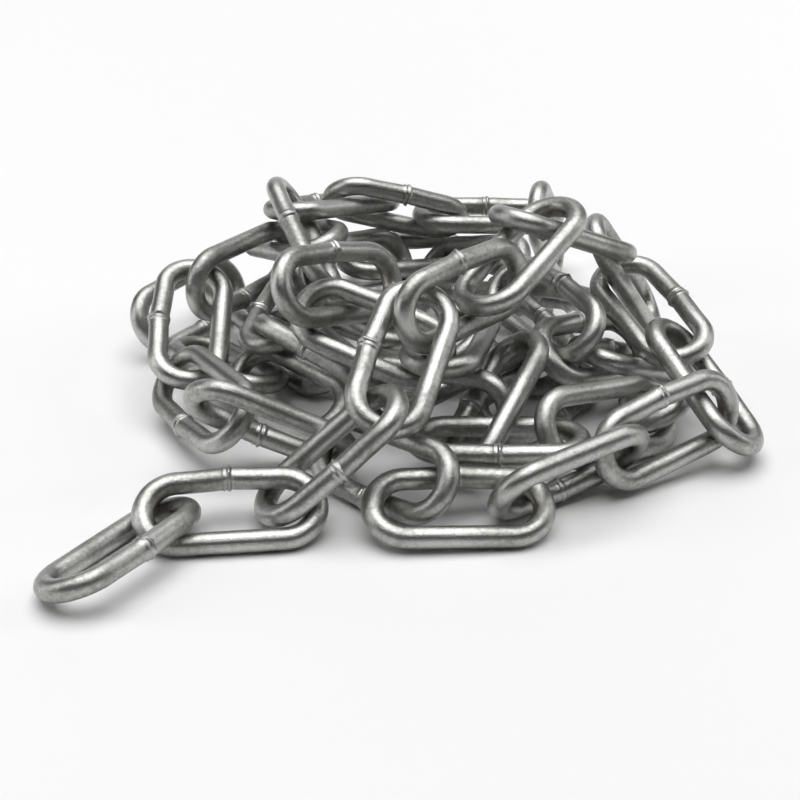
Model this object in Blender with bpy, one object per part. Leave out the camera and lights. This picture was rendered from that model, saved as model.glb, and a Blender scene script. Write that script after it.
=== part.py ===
"""A loose heap of welded long-link steel chain, laid the way it lies in the photograph.

Each link is one solid: 8 mm round wire bent to a 52 mm by 16 mm opening. The heap is laid in four steps:
every link is put where the photograph shows its two ends, neighbours are threaded through each other, links
that start off caught in one another are lifted clear, and the whole heap is let down until it rests on the
floor and on itself.
"""

import bpy
import numpy as np
from mathutils import Matrix

for old in list(bpy.data.objects):
    bpy.data.objects.remove(old)

# Sizes of one link, in millimetres
WIRE = 8.0
INNER_LENGTH = 52.0
INNER_WIDTH = 16.0
CLEARANCE = 0.3
BEND = (INNER_WIDTH + WIRE) / 2
HALF_LENGTH = (INNER_LENGTH + WIRE) / 2
HALF_STRAIGHT = HALF_LENGTH - BEND

# Facets of the drawn link
SECTION_SIDES = 8
CROWN_STEPS = 6

# The photograph's viewpoint: its middle pixel looks at the origin
MIDDLE = 400.0
FOCAL = 1500.0
LOOK_DOWN = np.radians(28.0)
DISTANCE = 612.0
FORWARD = np.array([0.0, np.cos(LOOK_DOWN), -np.sin(LOOK_DOWN)])
RIGHT = np.array([1.0, 0.0, 0.0])
UPWARD = np.cross(RIGHT, FORWARD)
EYE = -FORWARD * DISTANCE

# One row a link, in chain order. Each end is a pixel of the photograph and a height over the floor in
# millimetres; then how far the link is rolled about its length, in degrees, and for most the pixel of the
# middle of the bar on the left when going from the first end to the second. Of the last two runs the
# photograph shows only glimpses, low down between the other links.
LENGTHS = {
    "a": [
        ((54, 596, 4), (180, 513, 17), 20, (100, 546)),
        ((146, 512, 7), (313, 510, 5), 25, (227, 482)),
        ((272, 508, 5), (392, 400, 32), -5, (320, 440)),
        ((378, 424, 21), (423, 296, 59), 40, (377, 345)),
        ((408, 308, 51), (503, 262, 56), 50, (455, 271)),
        ((482, 304, 40), (538, 206, 61), 10, (490, 240)),
        ((520, 226, 56), (577, 250, 48), 60, (555, 223)),
        ((598, 256, 51), (613, 325, 19), -60, (612, 290)),
        ((633, 296, 24), (690, 370, 16), 20, (671, 318)),
        ((657, 356, 22), (746, 436, 8), 0, (709, 389)),
        ((725, 412, 12), (603, 455, 5), -50, (668, 461)),
        ((627, 452, 12), (493, 508, 8), -60, (565, 488)),
        ((540, 508, 4), (378, 510, 7), -20, (460, 537)),
        ((446, 492, 16), (325, 447, 5), -20, (372, 497)),
        ((335, 455, 7), (203, 399, 11), -80, (258, 430)),
        ((240, 430, 4), (170, 385, 11), -30, (184, 420)),
        ((190, 380, 16), (197, 262, 21), 20, (163, 320)),
        ((195, 278, 24), (290, 250, 29), 70, (243, 258)),
        ((264, 236, 29), (325, 246, 35), 20),
        ((322, 270, 40), (272, 203, 51), 80, (293, 240)),
        ((290, 222, 45), (380, 205, 43), 30, (332, 197)),
        ((320, 222, 40), (455, 235, 45), 20, (390, 222)),
        ((412, 213, 45), (560, 215, 43), 20, (485, 206)),
        ((572, 218, 45), (556, 258, 4), 60),
    ],
    "b": [
        ((492, 280, 19), (612, 335, 11), 10, (560, 292)),
        ((553, 355, 15), (633, 350, 18), 40),
        ((565, 366, 20), (674, 382, 5), 10, (612, 358)),
        ((660, 368, 5), (668, 428, 5), 20),
        ((680, 417, 4), (562, 428, 12), -40, (620, 430)),
        ((572, 452, 4), (421, 434, 5), -15, (490, 460)),
        ((464, 478, 7), (532, 350, 36), -30, (478, 400)),
        ((510, 410, 16), (385, 410, 12), -70),
        ((395, 392, 14), (262, 340, 25), 20, (312, 356)),
        ((240, 335, 24), (300, 262, 35), 10, (262, 288)),
        ((288, 264, 27), (398, 245, 35), 20, (345, 235)),
        ((345, 258, 35), (455, 250, 35), 30, (400, 237)),
        ((440, 268, 32), (519, 257, 37), 50),
    ],
    "c": [
        ((500, 300, 16), (570, 370, 5), 20, (530, 325)),
        ((590, 388, 12), (490, 430, 8), -10, (545, 423)),
    ],
    "d": [
        ((406, 266, 45), (278, 300, 43), -55, (330, 310)),
        ((303, 303, 32), (446, 358, 27), 30, (385, 318)),
        ((440, 370, 11), (468, 318, 19), 30),
    ],
    "e": [
        ((330, 430, 5), (245, 372, 5), -30, (280, 398)),
        ((252, 402, 5), (187, 346, 5), 10),
    ],
    "f": [
        ((150, 333, 11), (232, 280, 19), 60),
        ((222, 285, 13), (285, 345, 8), 20),
        ((270, 330, 7), (330, 385, 7), 60),
    ],
    "g": [
        ((532, 368, 14), (405, 415, 10), 20, (460, 378)),
    ],
    "h": [
        ((476, 348, 12), (380, 336, 10), -20),
        ((400, 345, 8), (305, 322, 6), 20),
    ],
    "i": [
        ((292, 290, 6), (385, 276, 6), 15),
        ((362, 278, 8), (458, 284, 8), -30),
        ((436, 284, 6), (530, 292, 6), 20),
        ((508, 290, 8), (592, 298, 6), -20),
    ],
}

NAMES = [f"link_{letter}{k + 1:02d}" for letter, rows in LENGTHS.items() for k in range(len(rows))]
ROWS = [row for rows in LENGTHS.values() for row in rows]
COUNT = len(ROWS)
JOINED = np.array([(k, k + 1) for k in range(COUNT - 1) if NAMES[k][:6] == NAMES[k + 1][:6]])
IS_JOINED = np.zeros((COUNT, COUNT), bool)
IS_JOINED[JOINED[:, 0], JOINED[:, 1]] = IS_JOINED[JOINED[:, 1], JOINED[:, 0]] = True


# Lines of sight

def sight(u, v):
    direction = FORWARD + RIGHT * (u - MIDDLE) / FOCAL + UPWARD * (MIDDLE - v) / FOCAL
    return direction / np.linalg.norm(direction)


def seen_at(u, v, height):
    direction = sight(u, v)
    return EYE + direction * (height - EYE[2]) / direction[2]


def both_ends(first, second):
    """A row's ends on their lines of sight, their heights eased apart until a link's length fits"""
    mean, lean = (first[2] + second[2]) / 2, second[2] - first[2]
    best = None
    for change in np.arange(0, 70, 0.5):
        for side in (1, -1):
            half = (lean + side * change) / 2
            lift = max(0.0, WIRE / 2 - min(mean - half, mean + half))
            start = seen_at(*first[:2], mean - half + lift)
            end = seen_at(*second[:2], mean + half + lift)
            miss = abs(np.linalg.norm(end - start) - 2 * HALF_LENGTH) + 0.08 * change
            if best is None or miss < best[0]:
                best = miss, start, end
    return best[1], best[2]


# Geometry of a link: its centreline lies in its own xy plane, with the length along x

def centreline(count):
    """Evenly spaced points round the centreline, the middle of the +y bar among the first"""
    around = 4 * HALF_STRAIGHT + 2 * np.pi * BEND
    points = []
    for t in (np.arange(count) + 0.5) * around / count:
        if t < 2 * HALF_STRAIGHT:
            points.append((t - HALF_STRAIGHT, BEND, 0))
        elif t < around / 2:
            a = (t - 2 * HALF_STRAIGHT) / BEND
            points.append((HALF_STRAIGHT + BEND * np.sin(a), BEND * np.cos(a), 0))
        elif t < around / 2 + 2 * HALF_STRAIGHT:
            points.append((HALF_STRAIGHT - (t - around / 2), -BEND, 0))
        else:
            a = (t - around / 2 - 2 * HALF_STRAIGHT) / BEND
            points.append((-HALF_STRAIGHT - BEND * np.sin(a), -BEND * np.cos(a), 0))
    return np.array(points)


def nearest(points):
    """The nearest points of the centreline, all in the link's own axes"""
    along = np.clip(points[..., 0], -HALF_STRAIGHT, HALF_STRAIGHT)
    beyond = points[..., 0] - along
    out = np.maximum(np.hypot(beyond, points[..., 1]), 1e-9)
    return np.stack([along + BEND * beyond / out, BEND * points[..., 1] / out, 0 * along], -1)


SAMPLES = 48
STRETCHES = 6
LOOP = centreline(SAMPLES)
FIRST_TIP = np.array([-HALF_LENGTH, 0.0, 0.0])
SECOND_TIP = np.array([HALF_LENGTH, 0.0, 0.0])
LEFT_BAR = np.array([0.0, BEND, 0.0])
# How readily a link turns about its own x, y and z for a given shift
TURNS = 1 / np.array([120.0, 400.0, 500.0])


def turned(frames, turns):
    angle = np.linalg.norm(turns, axis=1)
    x, y, z = (turns / np.maximum(angle, 1e-12)[:, None]).T
    o = np.zeros_like(x)
    cross = np.stack([o, -z, y, z, o, -x, -y, x, o], -1).reshape(-1, 3, 3)
    spin = np.eye(3) + np.sin(angle)[:, None, None] * cross
    spin += (1 - np.cos(angle))[:, None, None] * (cross @ cross)
    frames = spin @ frames
    first = frames[:, :, 0] / np.linalg.norm(frames[:, :, 0], axis=1)[:, None]
    second = frames[:, :, 1] - (frames[:, :, 1] * first).sum(1)[:, None] * first
    second /= np.linalg.norm(second, axis=1)[:, None]
    return np.stack([first, second, np.cross(first, second)], 2)


def capped(vectors, most):
    return vectors * np.minimum(1, most / np.maximum(np.linalg.norm(vectors, axis=1), 1e-9))[:, None]


def inward(frames, vectors):
    return np.einsum("kji,kj->ki", frames, vectors)


def outward(frames, vectors):
    return np.einsum("kij,kj->ki", frames, vectors)


class Nudges:
    """Adds up what a set of pulls or pushes asks of each link, then moves them all a little"""

    def __init__(self, places, frames):
        self.places, self.frames = places, frames
        self.shift, self.turn, self.votes = np.zeros((COUNT, 3)), np.zeros((COUNT, 3)), np.zeros(COUNT)

    def leverage(self, links, points, normals):
        arm = inward(self.frames[links], np.cross(points - self.places[links], normals))
        return 1 + (arm * arm * TURNS).sum(1), outward(self.frames[links], arm * TURNS)

    def add(self, links, shift, turn, votes):
        np.add.at(self.shift, links, shift)
        np.add.at(self.turn, links, turn)
        np.add.at(self.votes, links, votes)

    def pull(self, links, points, wanted, strength, votes=0.0):
        far = np.linalg.norm(wanted, axis=1)
        normals = wanted / np.maximum(far, 1e-9)[:, None]
        weight, turn = self.leverage(links, points, normals)
        amount = (strength * far / weight)[:, None]
        self.add(links, normals * amount, turn * amount, votes)

    def part(self, first, second, on_first, on_second, normals, amount):
        weight_1, turn_1 = self.leverage(first, on_first, normals)
        weight_2, turn_2 = self.leverage(second, on_second, normals)
        amount = (amount / (weight_1 + weight_2))[:, None]
        self.add(first, normals * amount, turn_1 * amount, 1.0)
        self.add(second, -normals * amount, -turn_2 * amount, 1.0)

    def moved(self, share, most):
        """Rounded, so that the heap comes out the same on every machine"""
        split = np.maximum(self.votes / share, 1)[:, None]
        places = self.places + capped(self.shift / split, most)
        frames = turned(self.frames, capped(self.turn / split, 0.05 * most))
        return np.round(places, 4), np.round(frames, 6)


def loops_in_space(places, frames, loop=LOOP):
    return places[:, None] + np.einsum("nij,kj->nki", frames, loop)


def close_pairs(places):
    apart = np.linalg.norm(places[:, None] - places[None], axis=2)
    return np.argwhere(np.triu(apart < 2 * HALF_LENGTH + WIRE + 2, 1))


def contacts(places, frames, pairs, reach):
    """Where the centrelines of these pairs come within reach: links, points, directions and distances"""
    i, j = np.concatenate([pairs, pairs[:, ::-1]]).T
    world = loops_in_space(places, frames)
    local = np.einsum("kji,ksj->ksi", frames[j], world[i] - places[j][:, None])
    foot = nearest(local)
    apart = np.linalg.norm(local - foot, axis=2).reshape(len(i), STRETCHES, -1)
    pick = apart.argmin(2) + np.arange(STRETCHES) * (SAMPLES // STRETCHES)
    row, stretch = np.nonzero(apart.min(2) < reach)
    i, j, sample = i[row], j[row], pick[row, stretch]
    on_i = world[i, sample]
    on_j = outward(frames[j], foot[row, sample]) + places[j]
    for _ in range(3):
        on_i = outward(frames[i], nearest(inward(frames[i], on_j - places[i]))) + places[i]
        on_j = outward(frames[j], nearest(inward(frames[j], on_i - places[j]))) + places[j]
    apart = np.linalg.norm(on_i - on_j, axis=1)
    near = apart < reach
    normals = (on_i - on_j)[near] / np.maximum(apart[near], 1e-6)[:, None]
    return i[near], j[near], on_i[near], on_j[near], normals, apart[near]


def linked(places, frames, loop=centreline(40)):
    """Gauss's linking number of every close pair, nought unless one runs through the other"""
    world = loops_in_space(places, frames, loop)
    steps = np.roll(world, -1, 1) - world
    middles = world + steps / 2
    found = np.zeros((COUNT, COUNT))
    for i, j in close_pairs(places):
        between = middles[i][:, None] - middles[j][None]
        volume = (between * np.cross(steps[i][:, None], steps[j][None])).sum(2)
        found[i, j] = (volume / np.linalg.norm(between, axis=2) ** 3).sum() / (4 * np.pi)
    return np.abs(np.round(found + found.T))


# Laying the heap

ENDS = [both_ends(row[0], row[1]) for row in ROWS]
HEIGHTS = np.array([[start[2], end[2]] for start, end in ENDS])
SIGHTS = np.array([[sight(*row[0][:2]), sight(*row[1][:2])] for row in ROWS])
BARS = np.array([k for k, row in enumerate(ROWS) if len(row) > 3])
BAR_SIGHTS = np.array([sight(*ROWS[k][3]) for k in BARS])


def as_photographed():
    places = np.array([(start + end) / 2 for start, end in ENDS])
    frames = np.zeros((COUNT, 3, 3))
    for k, (start, end) in enumerate(ENDS):
        along = (end - start) / np.linalg.norm(end - start)
        across = np.cross([0, 0, 1.0], along)
        across /= np.linalg.norm(across)
        roll = np.radians(ROWS[k][2])
        across = across * np.cos(roll) + np.cross(along, across) * np.sin(roll)
        frames[k] = np.stack([along, across, np.cross(along, across)], 1)
    return places, frames


EVERY = np.arange(COUNT)
FIRST_ROLL = as_photographed()[1][:, :, 1]
raised = np.zeros(COUNT)


def to_sight(points, sights):
    away = points - EYE
    return EYE + sights * (away * sights).sum(1)[:, None] - points


def ease(places, frames, rounds, photo=0.0, thread=0.0, level=0.0, fall=0.0, solid=True,
         thin=1.0, thick=1.0, only=None):
    """Moves all the links a little at a time: toward the photograph, the floor and clear of each other"""
    for turn in range(rounds):
        reach = (WIRE + CLEARANCE) * (thin + (thick - thin) * turn / max(rounds - 1, 1))
        if only is not None:
            pairs = only
        elif turn % 10 == 0:
            pairs = close_pairs(places)
        nudges = Nudges(places, frames)
        start, end = places + frames @ FIRST_TIP, places + frames @ SECOND_TIP
        if photo:
            nudges.pull(EVERY, start, to_sight(start, SIGHTS[:, 0]), photo)
            nudges.pull(EVERY, end, to_sight(end, SIGHTS[:, 1]), photo)
            bars = (places + frames @ LEFT_BAR)[BARS]
            nudges.pull(BARS, bars, to_sight(bars, BAR_SIGHTS), photo)
            along = frames[:, :, 0]
            roll = (np.cross(frames[:, :, 1], FIRST_ROLL) * along).sum(1)
            nudges.turn += along * (roll * photo / 2)[:, None]
        if thread:
            # Each link's second end sits in the next link's opening, and the next one's first end in its own
            i, j = JOINED.T
            room = HALF_LENGTH - WIRE - 0.5
            for link, tip, host, low, high in ((j, start[j], i, -WIRE, room), (i, end[i], j, -room, WIRE)):
                inside = inward(frames[host], tip - places[host])
                wanted = np.zeros_like(inside)
                wanted[:, 0] = np.clip(inside[:, 0], low, high)
                pull = outward(frames[host], wanted - inside)
                far = np.linalg.norm(pull, axis=1)
                nudges.part(link, host, tip, tip, pull / np.maximum(far, 1e-9)[:, None], thread * far)
        if level:
            for tips, heights in ((start, HEIGHTS[:, 0]), (end, HEIGHTS[:, 1])):
                lift = np.zeros((COUNT, 3))
                lift[:, 2] = heights + raised - tips[:, 2]
                nudges.pull(EVERY, tips, lift, level)
        nudges.shift[:, 2] -= fall
        nudges.votes[:] = 0
        places, frames = nudges.moved(1.0, 0.6 if reach > 0.75 * WIRE else 0.15)
        for _ in range(3 if solid else 0):
            nudges = Nudges(places, frames)
            i, j, on_i, on_j, normals, apart = contacts(places, frames, pairs, reach)
            nudges.part(i, j, on_i, on_j, normals, reach - apart)
            world = loops_in_space(places, frames)
            quarters = world[:, :, 2].reshape(COUNT, 4, -1)
            link, quarter = np.nonzero(quarters.min(2) < WIRE / 2)
            sample = quarters.argmin(2)[link, quarter] + quarter * (SAMPLES // 4)
            lift = np.zeros((len(link), 3))
            lift[:, 2] = WIRE / 2 - world[link, sample, 2]
            nudges.pull(link, world[link, sample], lift, 1.0, 1.0)
            places, frames = nudges.moved(1.6, 0.8)
    return places, frames


def thread_all(places, frames):
    """Rolls any link that its neighbour doesn't yet run through, with every wire still thin"""
    for turn in range(100):
        through = linked(places, frames)[JOINED[:, 0], JOINED[:, 1]] > 0.5
        if through.all() and turn > 5:
            break
        rolls = np.zeros((COUNT, 3))
        for a, b in JOINED[~through]:
            along = frames[b, :, 0]
            side = np.cross(frames[b, :, 2], np.cross(along, frames[a, :, 2])) @ along
            rolls[b] += along * np.sign(side) * 0.06
        frames = turned(frames, rolls)
        places, frames = ease(places, frames, 8, photo=0.05, thread=0.3, level=0.05, thin=0.15, thick=0.15,
                              only=JOINED[through])
    return places, frames


def lift_clear(places, frames):
    """Raises the upper of any two links caught in each other that aren't neighbours, as the wires thicken"""
    home = HEIGHTS.mean(1)
    thin = 0.2
    for turn in range(200):
        caught = np.argwhere(np.triu((linked(places, frames) > 0.5) & ~IS_JOINED, 1))
        if not len(caught) and turn > 30:
            break
        for a, b in caught if turn > 10 else ():
            upper, lower = (a, b) if home[a] >= home[b] else (b, a)
            raised[upper] += 1.0
            raised[lower] -= 0.3 if places[lower, 2] > WIRE else 0
        thick = min(thin + 0.02, 1)
        places, frames = ease(places, frames, 6, photo=0.06, level=0.08, thin=thin, thick=thick, only=JOINED)
        thin = thick
    return places, frames


def lay_heap():
    places, frames = as_photographed()
    places, frames = ease(places, frames, 200, photo=0.15, thread=0.5, level=0.1, solid=False)
    places, frames = thread_all(places, frames)
    places, frames = lift_clear(places, frames)
    places, frames = ease(places, frames, 250, photo=0.05, level=0.02, thin=0.1)
    places, frames = ease(places, frames, 500, photo=0.1, fall=0.15)
    places, frames = ease(places, frames, 250, photo=0.02, fall=0.02)
    places, frames = ease(places, frames, 120, thin=1.03, thick=1.03)
    wrong = np.argwhere(np.triu((linked(places, frames) > 0.5) != IS_JOINED, 1))
    print("threaded wrongly:", [(NAMES[a], NAMES[b]) for a, b in wrong])
    print("closest centrelines:", round(contacts(places, frames, close_pairs(places), 9.0)[5].min(), 2))
    return places, frames


# Drawing the links

def ring_of_wire():
    """One closed loop of wire, its section swept along the centreline in the link's own plane"""
    line = []
    for side in (1, -1):
        for k in range(CROWN_STEPS + 1):
            a = np.pi * k / CROWN_STEPS
            line.append((side * (HALF_STRAIGHT + BEND * np.sin(a)), side * BEND * np.cos(a)))
    curve = bpy.data.curves.new("wire", "CURVE")
    curve.dimensions = "3D"
    spline = curve.splines.new("POLY")
    spline.points.add(len(line) - 1)
    for point, (x, y) in zip(spline.points, line):
        point.co = (x / 1000, y / 1000, 0, 1)
    spline.use_cyclic_u = True
    curve.bevel_depth = WIRE / 2000
    curve.bevel_resolution = SECTION_SIDES // 4
    bent = bpy.data.objects.new("wire", curve)
    bpy.context.scene.collection.objects.link(bent)
    mesh = bpy.data.meshes.new_from_object(bent.evaluated_get(bpy.context.evaluated_depsgraph_get()))
    bpy.data.objects.remove(bent)
    mesh.shade_smooth()
    return mesh


def steel(name):
    material = bpy.data.materials.new(name)
    material.use_nodes = True
    surface = material.node_tree.nodes["Principled BSDF"]
    surface.inputs["Base Color"].default_value = (0.56, 0.56, 0.55, 1)
    surface.inputs["Metallic"].default_value = 1
    surface.inputs["Roughness"].default_value = 0.35
    return material


places, frames = lay_heap()
ring = ring_of_wire()
corners = 1000 * np.array([corner.co for corner in ring.vertices])
heap = loops_in_space(places, frames, corners)
low, high = heap.min((0, 1)), heap.max((0, 1))
middle = np.array([(low[0] + high[0]) / 2, (low[1] + high[1]) / 2, low[2]])
for name, place, frame in zip(NAMES, places, frames):
    link = bpy.data.objects.new(name, ring.copy())
    link.data.name = name
    link.data.materials.append(steel("steel_" + name))
    bpy.context.scene.collection.objects.link(link)
    pose = np.eye(4)
    pose[:3, :3] = frame
    pose[:3, 3] = (place - middle) / 1000
    link.matrix_world = Matrix(pose.tolist())
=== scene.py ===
# %% [markdown]
# # A heap of welded steel chain
#
# This lesson dresses a heap of long-link chain: round steel wire bent into long ovals, each welded shut in
# the middle of one bar and plated with bright zinc. The solids of the heap are loaded first and are never
# moved. They say where each link lies and how it is turned. One link is then modelled finely, with its weld,
# and a copy of it is laid in the place of every solid.

# %% Load the heap
import math
import random

import bpy
import numpy as np
from mathutils import Matrix, Vector


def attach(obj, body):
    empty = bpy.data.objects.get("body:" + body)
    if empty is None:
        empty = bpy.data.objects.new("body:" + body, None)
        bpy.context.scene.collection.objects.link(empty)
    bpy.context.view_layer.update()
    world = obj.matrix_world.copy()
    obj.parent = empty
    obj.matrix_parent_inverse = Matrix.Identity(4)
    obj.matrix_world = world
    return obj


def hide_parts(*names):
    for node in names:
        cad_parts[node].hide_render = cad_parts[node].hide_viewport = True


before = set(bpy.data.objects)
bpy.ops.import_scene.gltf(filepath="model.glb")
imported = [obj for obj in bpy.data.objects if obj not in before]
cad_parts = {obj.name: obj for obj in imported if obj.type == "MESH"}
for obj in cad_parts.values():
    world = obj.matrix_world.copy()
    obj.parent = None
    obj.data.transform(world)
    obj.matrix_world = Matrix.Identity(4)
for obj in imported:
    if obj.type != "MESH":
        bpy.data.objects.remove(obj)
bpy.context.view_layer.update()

# %% [markdown]
# ## The viewpoint
#
# The photograph looks down on the heap at 28 degrees through a fairly long lens, so the near links are only
# a little larger than the far ones. The angle and the distance were found from the links themselves, because
# all of them have the same length and the same wire. The camera is placed first, so that each step can be
# compared with the photograph.

# %% Place the camera
PHOTO_SIZE = 800
LOOK_DOWN = math.radians(28.0)
DISTANCE = 0.612
LENS_MM = 67.5
SENSOR_MM = 36.0
LOOK_AT = Vector((-0.009227, 0.004688, -0.00005))


def deselect():
    for other in bpy.context.selected_objects:
        other.select_set(False)


deselect()
bpy.ops.object.camera_add(rotation=(math.pi / 2 - LOOK_DOWN, 0, 0))
camera = bpy.context.object
camera.name = "photo_camera"
camera.location = LOOK_AT + DISTANCE * Vector((0, -math.cos(LOOK_DOWN), math.sin(LOOK_DOWN)))
camera.data.lens = LENS_MM
camera.data.sensor_width = SENSOR_MM
bpy.context.scene.camera = camera
bpy.context.view_layer.update()
to_camera = camera.matrix_world.inverted()
print("camera at", [round(t, 3) for t in camera.location])


def in_photo(point):
    """The pixel of the photograph at which a point shows"""
    away = to_camera @ Vector(point)
    pixels = PHOTO_SIZE * LENS_MM / SENSOR_MM / -away.z
    return np.array((PHOTO_SIZE / 2 + pixels * away.x, PHOTO_SIZE / 2 - pixels * away.y))


# %% [markdown]
# ## One link
#
# A chain maker cuts a length of round wire, bends it round a former until its ends meet in the middle of a
# bar, and presses the ends together while a current melts them. The metal that is squeezed out is trimmed,
# but a low collar stays, with a step at its edges and a small burr or two. The bar is also left slightly
# peaked, because the last bend never comes quite straight. The link is made the same way here: a circle the
# size of the wire is extruded along half of the welded bar, spun round a crown, extruded along the other bar,
# spun round the second crown, and extruded back to meet its start.

# %% Sizes of a link
WIRE = 0.004
BEND = 0.012
HALF_STRAIGHT = 0.018
SIDES = 32
CROWN_STEPS = 22
BAR_STEPS = 20
WELDED_HALF_STEPS = 10
MERGE = 0.00002
# How far the welded bar is left bowed out in its middle
PEAK = 0.0009
# Along the bar from the weld, in mm, and how far the metal stands proud of the wire there: the squeezed-out
# ridge in the middle, a trimmed step on one side of it and a shallow groove on the other
RIDGE = 0.62
STEP_SIDE = ((0.35, 0.54), (0.65, 0.22), (1.0, 0.10), (1.4, 0.20), (1.8, 0.34), (2.1, 0.26), (2.4, 0.04),
             (3.4, 0.0))
GROOVE_SIDE = ((0.35, 0.54), (0.65, 0.16), (0.9, -0.10), (1.5, -0.07), (2.4, 0.0))


# %% Bend the wire into a link
def extrude_to(x, y, radius, now):
    """Carries the open end of the wire to a new centre and thickness"""
    bpy.ops.mesh.extrude_region_move(TRANSFORM_OT_translate={"value": (x - now[0], y - now[1], 0)})
    grow = radius / now[2]
    if abs(grow - 1) > 1e-6:
        bpy.ops.transform.resize(value=(grow, grow, grow), center_override=(x, y, 0))
    return x, y, radius


def peaked(x):
    return BEND + PEAK * (1 - abs(x) / HALF_STRAIGHT) ** 1.5


def half_bar(side):
    """Centres and thicknesses from the weld to the crown"""
    rings = [(along / 1000, WIRE + proud / 1000) for along, proud in side]
    plain = np.linspace(rings[-1][0], HALF_STRAIGHT, WELDED_HALF_STEPS)[1:]
    return rings + [(float(x), WIRE) for x in plain]


deselect()
now = (0, peaked(0), WIRE + RIDGE / 1000)
bpy.ops.mesh.primitive_circle_add(vertices=SIDES, radius=now[2], location=(0, now[1], 0),
                                  rotation=(0, math.pi / 2, 0))
link = bpy.context.object
link.name = "link_model"
bpy.ops.object.transform_apply(location=True, rotation=True, scale=True)
bpy.ops.object.mode_set(mode="EDIT")
bpy.ops.mesh.select_all(action="SELECT")
for x, radius in half_bar(STEP_SIDE):
    now = extrude_to(x, peaked(x), radius, now)
bpy.ops.mesh.spin(steps=CROWN_STEPS, angle=math.pi, center=(HALF_STRAIGHT, 0, 0), axis=(0, 0, 1))
now = (HALF_STRAIGHT, -BEND, WIRE)
for x in np.linspace(HALF_STRAIGHT, -HALF_STRAIGHT, BAR_STEPS + 1)[1:]:
    now = extrude_to(float(x), -BEND, WIRE, now)
bpy.ops.mesh.spin(steps=CROWN_STEPS, angle=math.pi, center=(-HALF_STRAIGHT, 0, 0), axis=(0, 0, 1))
now = (-HALF_STRAIGHT, BEND, WIRE)
for x, radius in half_bar(GROOVE_SIDE)[-2::-1] + [(0.0, WIRE + RIDGE / 1000)]:
    now = extrude_to(-x, peaked(x), radius, now)
bpy.ops.mesh.select_all(action="SELECT")
bpy.ops.mesh.remove_doubles(threshold=MERGE)
bpy.ops.mesh.normals_make_consistent(inside=False)
bpy.ops.object.mode_set(mode="OBJECT")
bpy.ops.object.shade_smooth()
print("one link:", len(link.data.polygons), "faces,", [round(1000 * t, 1) for t in link.dimensions], "mm")

# %% [markdown]
# ## Where each part of the wire is
#
# Drawing the wire leaves fine marks along it, and they have to follow it round the crowns. So the link gets a
# UV map: one way runs along the wire and the other round it, both in metres, so that the marks keep their
# scale. An attribute called weld is 1 at the weld and fades out beside it, for the evener grey of the trimmed
# metal. A second attribute is 1 inside the crowns, where links wear each other and shade each other: it makes
# the zinc smoother there, and it darkens the colour there as painted shade.

# %% Measure along and round the wire
QUARTER = math.pi * BEND / 2
AROUND = 4 * HALF_STRAIGHT + 4 * QUARTER
WELD_FADE = 0.006
CROWN_RUB_AND_SHADE_FADE = 0.008


def along_and_round(x, y, z):
    """Distance along the wire from the weld, and the angle round it from the outside of the link"""
    if abs(x) <= HALF_STRAIGHT:
        along = x if y > 0 else 2 * HALF_STRAIGHT + 2 * QUARTER - x
        out = abs(y) - (peaked(x) if y > 0 else BEND)
    else:
        side = math.copysign(1, x)
        turn = math.atan2(abs(x) - HALF_STRAIGHT, y)
        along = side * (HALF_STRAIGHT + BEND * turn)
        out = math.hypot(abs(x) - HALF_STRAIGHT, y) - BEND
    return along % AROUND, math.atan2(z, out)


def mark_wire(mesh):
    uv = mesh.uv_layers.new(name="wire")
    weld = mesh.attributes.new("weld", "FLOAT", "POINT")
    # 1 inside the crowns: for the smoother zinc that real wear leaves there, and for painted shade in the
    #                      colour there
    crown_rub_and_shade = mesh.attributes.new("crown_rub_and_shade", "FLOAT", "POINT")
    places = [along_and_round(*corner.co) for corner in mesh.vertices]
    for corner, (along, angle) in zip(mesh.vertices, places):
        from_weld = min(along, AROUND - along)
        weld.data[corner.index].value = max(0.0, 1 - from_weld / WELD_FADE)
        in_crown = max(0.0, min(1.0, (abs(corner.co.x) - HALF_STRAIGHT) / CROWN_RUB_AND_SHADE_FADE))
        crown_rub_and_shade.data[corner.index].value = max(0.0, -math.cos(angle)) * in_crown
    for face in mesh.polygons:
        first = places[mesh.loops[face.loop_start].vertex_index]
        for loop in face.loop_indices:
            along, angle = places[mesh.loops[loop].vertex_index]
            along += AROUND * round((first[0] - along) / AROUND)
            angle += 2 * math.pi * round((first[1] - angle) / (2 * math.pi))
            uv.data[loop].uv = (along, angle * WIRE)


mark_wire(link.data)
print("wire in one link:", round(1000 * AROUND), "mm")

# %% [markdown]
# ## The arithmetic of a finish
#
# A finish is a small calculation that is done at every point of the surface. Written out as nodes it is hard
# to read, so a small class wraps one socket and adds a node for each operator. A sum in Python then is a sum
# in the material.


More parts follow.
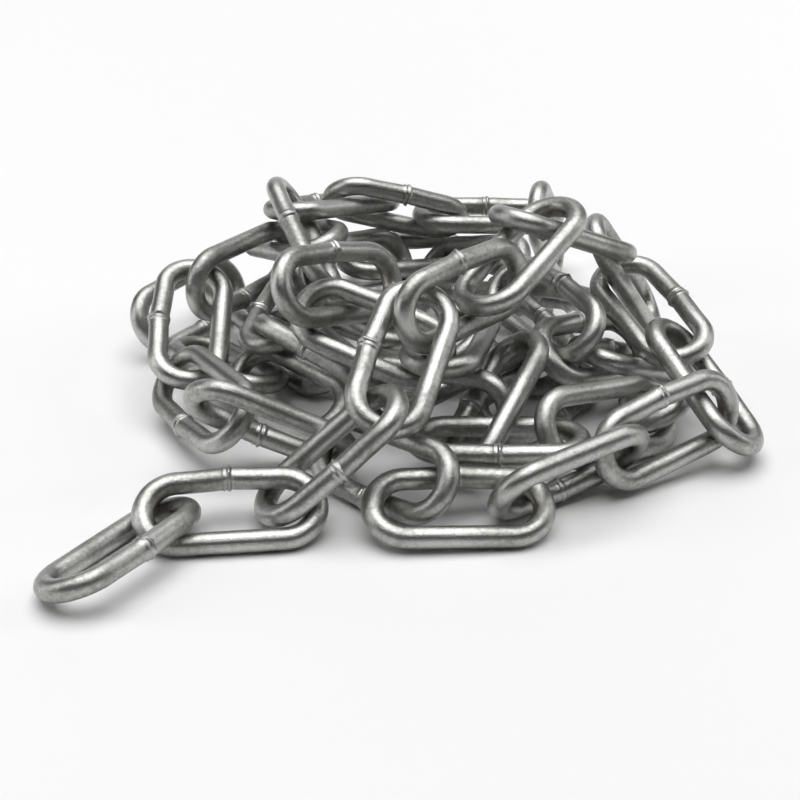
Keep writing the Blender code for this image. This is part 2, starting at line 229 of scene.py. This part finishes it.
# %% A socket that can be reckoned with
class Socket:
    """One output in a material, on which arithmetic adds Math nodes"""

    def __init__(self, tree, output):
        self.tree, self.output = tree, output

    def node(self, kind, settings=None, inputs=None, output=0):
        new = self.tree.nodes.new("ShaderNode" + kind)
        for name, value in (settings or {}).items():
            setattr(new, name, value)
        for name, value in (inputs or {}).items():
            if isinstance(value, Socket):
                self.tree.links.new(value.output, new.inputs[name])
            else:
                new.inputs[name].default_value = value
        return Socket(self.tree, new.outputs[output])

    def math(self, operation, first, second):
        return self.node("Math", {"operation": operation}, {0: first, 1: second})

    def __add__(self, other):
        return self.math("ADD", self, other)

    def __sub__(self, other):
        return self.math("SUBTRACT", self, other)

    def __mul__(self, other):
        return self.math("MULTIPLY", self, other)

    def __rsub__(self, other):
        return self.math("SUBTRACT", other, self)

    __radd__, __rmul__ = __add__, __mul__

    def between(self, low, high):
        """0 at or under low, 1 at or over high, and smooth between"""
        return self.node("MapRange", {"interpolation_type": "SMOOTHSTEP"},
                         {"Value": self, "From Min": low, "From Max": high})

    def mix(self, under, over):
        """The colour under where this is 0, and the colour over where it is 1"""
        return self.node("Mix", {"data_type": "RGBA"}, {0: self, 6: under, 7: over}, output=2)


# %% [markdown]
# ## Bright zinc over drawn wire
#
# The plating is a bright grey metal with a satin sheen. Close to, it is not even: it has a fine mottle of
# crystals, faint lines that the drawing die left along the wire, and duller, slightly warmer patches where
# the bath lay thin. The weld was trimmed before it was plated, so its grey is evener. Where crowns have
# rubbed, the zinc is smoother. Inside the crowns, where the links shade each other, the colour is also
# darkened
# towards the stain grey: that is painted shade. The colour stays almost the same all over, and roughness and
# a very shallow bump do most of the work, as they do on the real metal.

# %% Make the zinc
BRIGHT = (0.52, 0.525, 0.505, 1)
DULL = (0.27, 0.27, 0.252, 1)
# A warm grey for real stains, also used for the painted shade inside the crowns
STAIN_AND_SHADE = (0.20, 0.18, 0.14, 1)
WELD_METAL = (0.48, 0.48, 0.465, 1)
# How many to a metre
CRYSTALS, MOTTLE, PATCHES, STAINS = 2000.0, 600.0, 45.0, 28.0
LINES_ALONG, LINES_ROUND = 30.0, 1400.0
SATIN = 0.225
RELIEF = 0.00021


def bright_zinc():
    material = bpy.data.materials.new("bright_zinc")
    material.use_nodes = True
    tree = material.node_tree
    surface = tree.nodes["Principled BSDF"]
    start = Socket(tree, None)
    place = start.node("TexCoord", output="Object")
    wire_uv = start.node("UVMap", {"uv_map": "wire"})
    weld = start.node("Attribute", {"attribute_name": "weld"}, output="Fac")
    crown_rub_and_shade = start.node("Attribute", {"attribute_name": "crown_rub_and_shade"}, output="Fac")

    def noise(vector, scale, detail=2.0, rough=0.5):
        return start.node("TexNoise", None, {"Vector": vector, "Scale": scale, "Detail": detail,
                                             "Roughness": rough})

    crystals = noise(place, CRYSTALS, 2.0, 0.7)
    mottle = noise(place, MOTTLE, 3.0, 0.65)
    patches = noise(place, PATCHES, 2.0)
    stretched = start.node("Mapping", None, {"Vector": wire_uv, "Scale": (LINES_ALONG, LINES_ROUND, 1.0)})
    lines = noise(stretched, 1.0, 2.0)

    dull = (patches * 0.6 + mottle * 0.4).between(0.42, 0.66)
    stain = noise(place, STAINS, 3.0).between(0.60, 0.78) * 0.35
    color = dull.mix(BRIGHT, DULL)
    color = (crystals.between(0.40, 0.62) * 0.45).mix(color, DULL)
    color = stain.mix(color, STAIN_AND_SHADE)
    # Painted shade: the colour inside the crowns is darkened towards the stain grey, where the links shade
    # each other
    color = (crown_rub_and_shade.between(0.3, 1.0) * 0.5).mix(color, STAIN_AND_SHADE)
    color = (weld.between(0.62, 0.80) * 0.7).mix(color, WELD_METAL)
    tree.links.new(color.output, surface.inputs["Base Color"])

    roughness = SATIN + dull * 0.10 + crystals * 0.12 + lines * 0.05 - crown_rub_and_shade * 0.04
    tree.links.new(roughness.output, surface.inputs["Roughness"])
    surface.inputs["Metallic"].default_value = 1.0

    height = crystals * 0.8 + mottle * 0.25 + lines * 0.25
    bump = start.node("Bump", None, {"Height": height, "Strength": 0.8, "Distance": RELIEF})
    tree.links.new(bump.output, surface.inputs["Normal"])
    return material


zinc = bright_zinc()
link.data.materials.append(zinc)
print("nodes in the finish:", len(zinc.node_tree.nodes))

# %% [markdown]
# ## A link in the place of every solid
#
# A solid's mesh says where its link lies: the middle of its corners is the link's centre, and the directions
# in which they spread most, less and least are its length, its width and its thickness. That leaves one thing
# open, on which bar the weld is. Where the photograph shows a weld, it goes on the bar that passes nearest to
# it. The other links have theirs on the bar farther from the camera, where the photograph shows it least.
# Where another link lies against the weld, there is no room for its collar, and it goes on the other bar.

# %% Where the photograph shows a weld, as pixels
WELDS = {
    "link_a01": (150, 550), "link_a02": (227, 482), "link_a03": (348, 456), "link_a04": (383, 325),
    "link_a05": (478, 285), "link_a06": (490, 237), "link_a08": (609, 273), "link_a09": (671, 318),
    "link_a11": (667, 398), "link_a12": (540, 480), "link_a14": (369, 491), "link_a17": (167, 293),
    "link_a20": (292, 220), "link_a21": (316, 205), "link_a23": (485, 217), "link_b01": (552, 303),
    "link_e01": (302, 409), "link_b05": (665, 431),
}


# %% Lay a copy of the link on each solid
# How far a weld has to be from the middle of the wire of another link
WELD_ROOM = 0.0090
# How far from the weld, along the bar, its collar is uneven and a burr reaches, and how far round a burr goes
UNEVEN_REACH = 0.0024
BURR_REACH = 0.0005
BURR_ANGLE = 0.45


def lie_of(node):
    """Centre, direction of the length and direction of the width of the link that a solid stands for"""
    corners = np.array([corner.co for corner in node.data.vertices])
    corners = np.unique(np.round(corners, 6), axis=0)
    centre = corners.mean(0)
    spread, axes = np.linalg.eigh(np.cov((corners - centre).T))
    return Vector(centre), Vector(axes[:, 2]), Vector(axes[:, 1])


def room_beside(spot, name):
    """How far from a spot on one link the centreline of the nearest other link passes"""
    room = math.inf
    for other, (centre, length, width) in lies.items():
        if other != name:
            x, y, z = [(spot - centre).dot(way) for way in (length, width, length.cross(width))]
            past = max(0.0, abs(x) - HALF_STRAIGHT)
            room = min(room, math.hypot(math.hypot(past, y) - BEND, z))
    return room


def place_of(name):
    """The matrix that takes the model link to where a solid lies, with the weld on the bar it belongs on"""
    centre, length, width = lies[name]
    bars = [centre + side * BEND * width for side in (1, -1)]
    if name in WELDS:
        miss = [np.linalg.norm(in_photo(bar) - np.array(WELDS[name])) for bar in bars]
    else:
        miss = [-(bar - camera.location).length for bar in bars]
    welded = 1 if miss[1] < miss[0] else 0
    room = [room_beside(centre + side * (BEND + PEAK) * width, name) for side in (1, -1)]
    if room[welded] < WELD_ROOM and room[1 - welded] > room[welded]:
        print(name, "has another link against its weld, so the weld goes on the other bar")
        welded = 1 - welded
    if welded:
        width = -width
    place = Matrix((length, width, length.cross(width))).transposed().to_4x4()
    place.translation = centre
    return place


def roughen_weld(mesh, dice):
    """Makes the ridge uneven and leaves a burr or two on it, differently on each link"""
    waves = [(dice.uniform(0, 2 * math.pi), dice.uniform(0.03, 0.09)) for _ in range(4)]
    burrs = [(dice.uniform(-math.pi, math.pi), dice.uniform(0.4, 0.9)) for _ in range(2)]
    for corner in mesh.vertices:
        x, y, z = corner.co
        if abs(x) > UNEVEN_REACH or y < 0:
            continue
        out = Vector((0, y - peaked(x), z))
        angle = math.atan2(out.z, out.y)
        near = 1 - abs(x) / UNEVEN_REACH
        proud = near * sum(size * math.sin((k + 1) * angle + turn) for k, (turn, size) in enumerate(waves))
        if abs(x) < BURR_REACH:
            for middle, size in burrs:
                apart = abs(math.remainder(angle - middle, 2 * math.pi))
                proud += size * max(0.0, 1 - apart / BURR_ANGLE) ** 2
        corner.co += out.normalized() * proud / 1000


def press_on_floor(mesh):
    """Flattens what would sink into the floor, such as the collar under a bar that lies on it"""
    for corner in mesh.vertices:
        corner.co.z = max(corner.co.z, 0.0)


lies = {name: lie_of(node) for name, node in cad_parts.items()}
link_pieces = []
dice = random.Random(8)
for name in sorted(lies):
    piece = link.copy()
    piece.data = link.data.copy()
    piece.name = piece.data.name = name.replace("link", "chain_link")
    bpy.context.scene.collection.objects.link(piece)
    roughen_weld(piece.data, dice)
    piece.data.transform(place_of(name))
    press_on_floor(piece.data)
    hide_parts(name)
    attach(piece, "root")
    link_pieces.append(piece)
bpy.data.objects.remove(link)
print("links laid:", len(link_pieces), "faces:", sum(len(piece.data.polygons) for piece in link_pieces))

# %% [markdown]
# ## Floor and light
#
# The heap lies on a plain pale floor. Round bright wire shows nothing but what it reflects: a wide soft light
# above gives each bar its long highlight, and the dimmer sides of the room give the dark lines beside it.
# The light above is a sun whose disc is made as wide as a ceiling panel, so that it lights the floor evenly
# as far as the floor reaches. The room is nearly dark, but for a low pale band all round in which the floor
# ends.

# %% Lay the floor
FLOOR_WIDTH = 40
PALE = (0.86, 0.86, 0.86, 1)

deselect()
bpy.ops.mesh.primitive_plane_add(size=FLOOR_WIDTH)
floor = bpy.context.object
floor.name = "floor"
paper = bpy.data.materials.new("pale_paper")
paper.use_nodes = True
paper.node_tree.nodes["Principled BSDF"].inputs["Base Color"].default_value = PALE
paper.node_tree.nodes["Principled BSDF"].inputs["Roughness"].default_value = 0.9
floor.data.materials.append(paper)

# %% Hang the lights
SUN_STRENGTH = 2.9
SUN_WIDTH = math.radians(64)
SUN_TILT = math.radians(-4)
ROOM_GLOW = 0.010
HORIZON_GLOW = 0.78


def soft_light(name, place, size, power, aim=(0, 0, 0.02)):
    deselect()
    bpy.ops.object.light_add(type="AREA", location=place)
    light = bpy.context.object
    light.name = name
    light.data.shape = "RECTANGLE"
    light.data.size, light.data.size_y = size
    light.data.energy = power
    light.rotation_mode = "QUATERNION"
    light.rotation_quaternion = (Vector(aim) - Vector(place)).to_track_quat("-Z", "Y")


deselect()
bpy.ops.object.light_add(type="SUN", location=(0, 0, 1.1), rotation=(SUN_TILT, 0, 0))
overhead = bpy.context.object
overhead.name = "overhead"
overhead.data.energy = SUN_STRENGTH
overhead.data.angle = SUN_WIDTH
soft_light("backdrop", (0.0, 1.8, 0.7), (2.6, 1.0), 6)
soft_light("left_side", (-1.2, -0.1, 0.6), (0.35, 0.9), 3.5)
soft_light("right_side", (1.2, 0.2, 0.7), (0.35, 0.9), 3)

world = bpy.context.scene.world or bpy.data.worlds.new("room")
bpy.context.scene.world = world
world.use_nodes = True
room = world.node_tree.nodes["Background"]
room.inputs["Color"].default_value = (1, 1, 1, 1)
way_out = Socket(world.node_tree, None).node("TexCoord", output="Generated")
rise = way_out.node("SeparateXYZ", None, {"Vector": way_out}, output="Z")
strength = (1 - rise.between(0.05, 0.10)) * HORIZON_GLOW + ROOM_GLOW
world.node_tree.links.new(strength.output, room.inputs["Strength"])
bpy.context.scene.view_settings.view_transform = "Standard"
